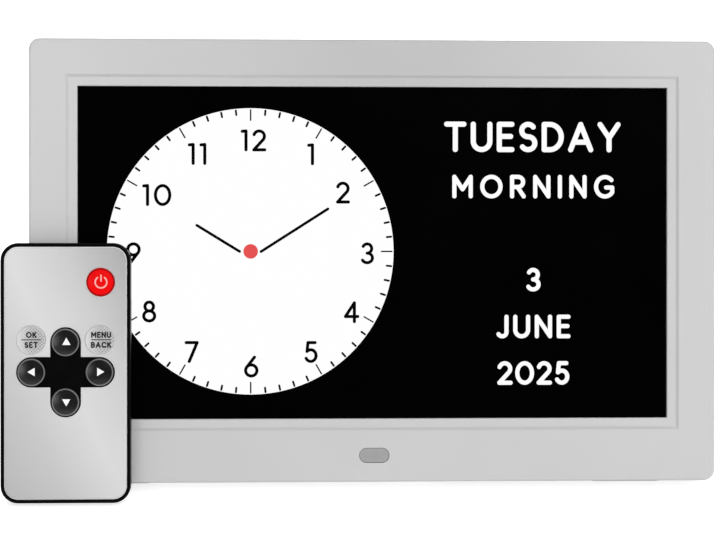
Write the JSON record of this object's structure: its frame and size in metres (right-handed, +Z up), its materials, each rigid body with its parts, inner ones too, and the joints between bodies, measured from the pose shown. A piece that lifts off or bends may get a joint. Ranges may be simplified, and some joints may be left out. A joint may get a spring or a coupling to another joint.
{
  "type": "dementia day clock",
  "caption": "Light grey day clock with a wide black screen, leaning back on a folding leg, and a slim silver and black remote control leaning on its front left corner.",
  "frame": {"origin": "middle of the underside of the box round the clock and its remote control, on the table", "axes": "+X to the viewer's right along the screen, +Y to the rear, +Z up; the screen faces -Y and leans back 14 degrees"},
  "size_m": [0.2136, 0.0592, 0.1333],
  "materials": {
    "case_grey": "moulded ABS, light grey, half gloss",
    "filter_grey": "grey filter over the receiver, polished",
    "black_epoxy": "moulded epoxy",
    "circuit_board": "green solder mask",
    "screen_glass": "black display glass with a polariser",
    "clear_acrylic": "clear acrylic",
    "plated_steel": "zinc-plated steel",
    "amber_film": "amber polyimide film",
    "black_plastic": "moulded black plastic",
    "cell_steel": "nickel-plated steel",
    "white_nylon": "white nylon",
    "cone_paper": "black pressed paper",
    "wire_pvc": "soft black PVC",
    "black_rubber": "matt rubber",
    "remote_black": "black ABS, half gloss",
    "face_silver": "silver film, fine satin",
    "clear_lens": "clear epoxy lens",
    "spring_brass": "plated spring contacts",
    "key_red": "red, glossy",
    "key_silver": "silver lacquer, stippled",
    "key_black": "black, glossy"
  },
  "bodies": {
    "clock": {"front_bezel": "case_grey", "ir_window": "filter_grey", "ir_receiver": "black_epoxy", "ir_board": "circuit_board", "receiver_screws": "plated_steel", "lcd_panel": "screen_glass", "lcd_light_guide": "clear_acrylic", "lcd_frame": "plated_steel", "lcd_flex": "amber_film", "lcd_clamps": "plated_steel", "clamp_screws": "plated_steel", "main_board": "circuit_board", "main_chips": "black_epoxy", "clock_crystal": "plated_steel", "cell_holder": "black_plastic", "backup_cell": "cell_steel", "lead_sockets": "white_nylon", "board_screws": "plated_steel", "dc_jack": "black_plastic", "usb_socket": "plated_steel", "card_socket": "plated_steel", "speaker_basket": "plated_steel", "speaker_cone": "cone_paper", "speaker_lead": "wire_pvc", "key_lead": "wire_pvc", "ir_lead": "wire_pvc", "key_board": "circuit_board", "key_switches": "black_plastic", "key_board_screws": "plated_steel", "rear_cover": "case_grey", "case_screws": "plated_steel", "stand_pin": "plated_steel", "rubber_feet": "black_rubber"},
    "stand": {"stand_leg": "case_grey", "stand_foot": "black_rubber"},
    "rear_key_right": {"rear_key_right": "case_grey"},
    "rear_key_down": {"rear_key_down": "case_grey"},
    "rear_key_up": {"rear_key_up": "case_grey"},
    "rear_key_left": {"rear_key_left": "case_grey"},
    "rear_key_menu": {"rear_key_menu": "case_grey"},
    "rear_key_power": {"rear_key_power": "case_grey"},
    "remote": {"remote_top_case": "remote_black", "remote_faceplate": "face_silver", "remote_back_case": "remote_black", "remote_board": "circuit_board", "remote_domes": "plated_steel", "remote_chip": "black_epoxy", "remote_ir_led": "clear_lens", "remote_contacts": "spring_brass"},
    "remote_tray": {"battery_tray": "remote_black", "remote_coin_cell": "cell_steel"},
    "remote_key_power": {"remote_key_power": "key_red"},
    "remote_key_ok": {"remote_key_ok": "key_silver"},
    "remote_key_menu": {"remote_key_menu": "key_silver"},
    "remote_key_up": {"remote_key_up": "key_black"},
    "remote_key_down": {"remote_key_down": "key_black"},
    "remote_key_left": {"remote_key_left": "key_black"},
    "remote_key_right": {"remote_key_right": "key_black"}
  },
  "joints": [
    {"name": "stand_hinge", "type": "hinge", "parent": "clock", "child": "stand", "pos_m": [0.00386, 0.0122, 0.06755], "axis": [1, 0, 0], "range_deg": [-23, 0]},
    {"name": "rear_key_right_press", "type": "slide", "parent": "clock", "child": "rear_key_right", "axis": [0, -0.9703, 0.2419], "range_m": [0, 0.0004], "stiffness_N_per_m": 1000, "springref_m": -0.0006},
    {"name": "rear_key_down_press", "type": "slide", "parent": "clock", "child": "rear_key_down", "axis": [0, -0.9703, 0.2419], "range_m": [0, 0.0004], "stiffness_N_per_m": 1000, "springref_m": -0.0006},
    {"name": "rear_key_up_press", "type": "slide", "parent": "clock", "child": "rear_key_up", "axis": [0, -0.9703, 0.2419], "range_m": [0, 0.0004], "stiffness_N_per_m": 1000, "springref_m": -0.0006},
    {"name": "rear_key_left_press", "type": "slide", "parent": "clock", "child": "rear_key_left", "axis": [0, -0.9703, 0.2419], "range_m": [0, 0.0004], "stiffness_N_per_m": 1000, "springref_m": -0.0006},
    {"name": "rear_key_menu_press", "type": "slide", "parent": "clock", "child": "rear_key_menu", "axis": [0, -0.9703, 0.2419], "range_m": [0, 0.0004], "stiffness_N_per_m": 1000, "springref_m": -0.0006},
    {"name": "rear_key_power_press", "type": "slide", "parent": "clock", "child": "rear_key_power", "axis": [0, -0.9703, 0.2419], "range_m": [0, 0.0004], "stiffness_N_per_m": 1000, "springref_m": -0.0006},
    {"name": "remote_lift", "type": "slide", "parent": "clock", "child": "remote", "axis": [0, 0, 1], "range_m": [0, 0.14]},
    {"name": "battery_tray_slide", "type": "slide", "parent": "remote", "child": "remote_tray", "axis": [0, -0.2419, -0.9703], "range_m": [0, 0.027]},
    {"name": "remote_key_power_press", "type": "slide", "parent": "remote", "child": "remote_key_power", "axis": [0, 0.9703, -0.2419], "range_m": [0, 0.0003], "stiffness_N_per_m": 1000, "springref_m": -0.0006},
    {"name": "remote_key_ok_press", "type": "slide", "parent": "remote", "child": "remote_key_ok", "axis": [0, 0.9703, -0.2419], "range_m": [0, 0.0003], "stiffness_N_per_m": 1000, "springref_m": -0.0006},
    {"name": "remote_key_menu_press", "type": "slide", "parent": "remote", "child": "remote_key_menu", "axis": [0, 0.9703, -0.2419], "range_m": [0, 0.0003], "stiffness_N_per_m": 1000, "springref_m": -0.0006},
    {"name": "remote_key_up_press", "type": "slide", "parent": "remote", "child": "remote_key_up", "axis": [0, 0.9703, -0.2419], "range_m": [0, 0.0003], "stiffness_N_per_m": 1000, "springref_m": -0.0006},
    {"name": "remote_key_down_press", "type": "slide", "parent": "remote", "child": "remote_key_down", "axis": [0, 0.9703, -0.2419], "range_m": [0, 0.0003], "stiffness_N_per_m": 1000, "springref_m": -0.0006},
    {"name": "remote_key_left_press", "type": "slide", "parent": "remote", "child": "remote_key_left", "axis": [0, 0.9703, -0.2419], "range_m": [0, 0.0003], "stiffness_N_per_m": 1000, "springref_m": -0.0006},
    {"name": "remote_key_right_press", "type": "slide", "parent": "remote", "child": "remote_key_right", "axis": [0, 0.9703, -0.2419], "range_m": [0, 0.0003], "stiffness_N_per_m": 1000, "springref_m": -0.0006}
  ]
}
